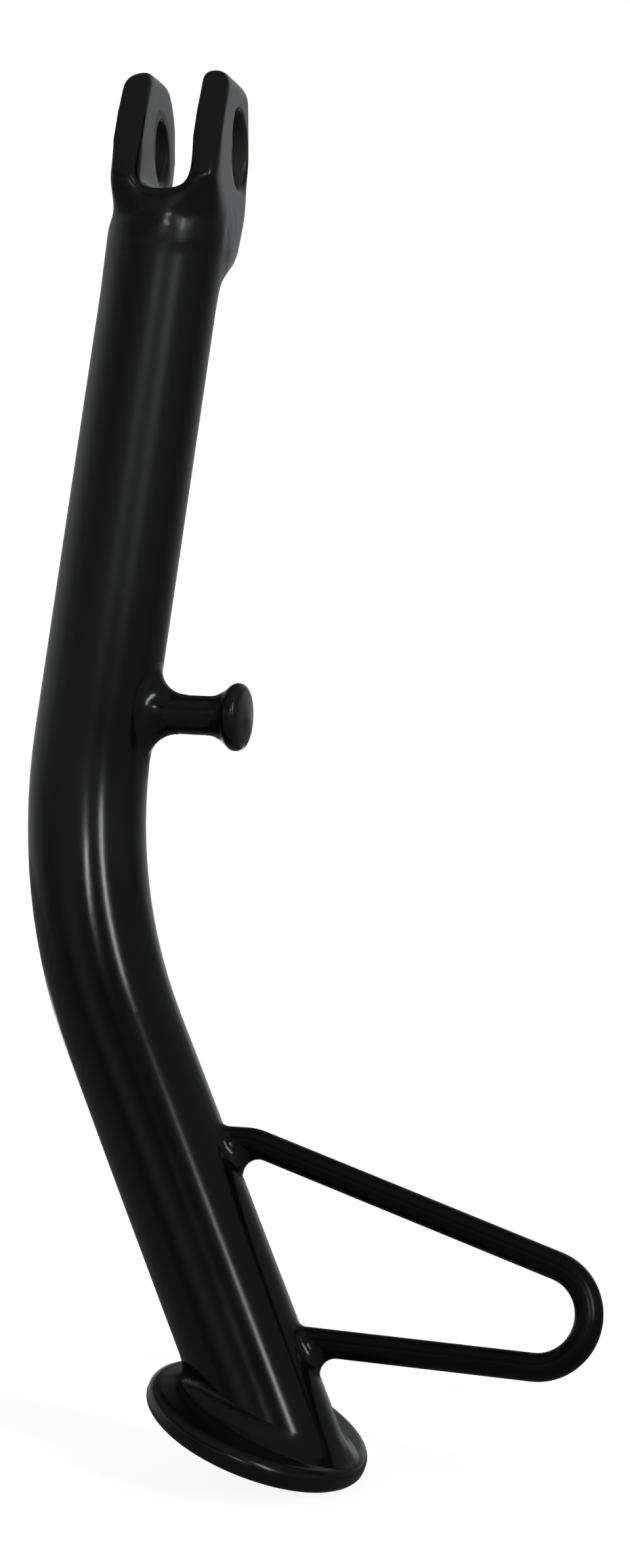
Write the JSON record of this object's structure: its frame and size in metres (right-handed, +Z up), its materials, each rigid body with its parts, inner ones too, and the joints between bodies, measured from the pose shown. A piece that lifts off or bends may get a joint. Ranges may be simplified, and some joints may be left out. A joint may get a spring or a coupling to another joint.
{
  "type": "side stand",
  "caption": "Bent tubular side stand with a slotted fork head to pivot on, a spring peg, a wire foot loop and a tilted oval foot plate.",
  "frame": {"origin": "on the pivot axis, half way between the two ears of the fork head", "axes": "+X along the pivot axis, out of the ear with the wide bore; +Z up, along the stand as the picture shows it; -Y towards the viewer"},
  "size_m": [0.1276, 0.0995, 0.2986],
  "materials": {
    "black_paint": "gloss"
  },
  "bodies": {
    "root": {"leg_tube": "black_paint", "fork_head": "black_paint", "foot_plate": "black_paint", "spring_peg": "black_paint", "foot_loop": "black_paint", "fork_weld": "black_paint", "peg_weld": "black_paint", "loop_weld_upper": "black_paint", "loop_weld_lower": "black_paint", "foot_weld": "black_paint"}
  },
  "joints": []
}
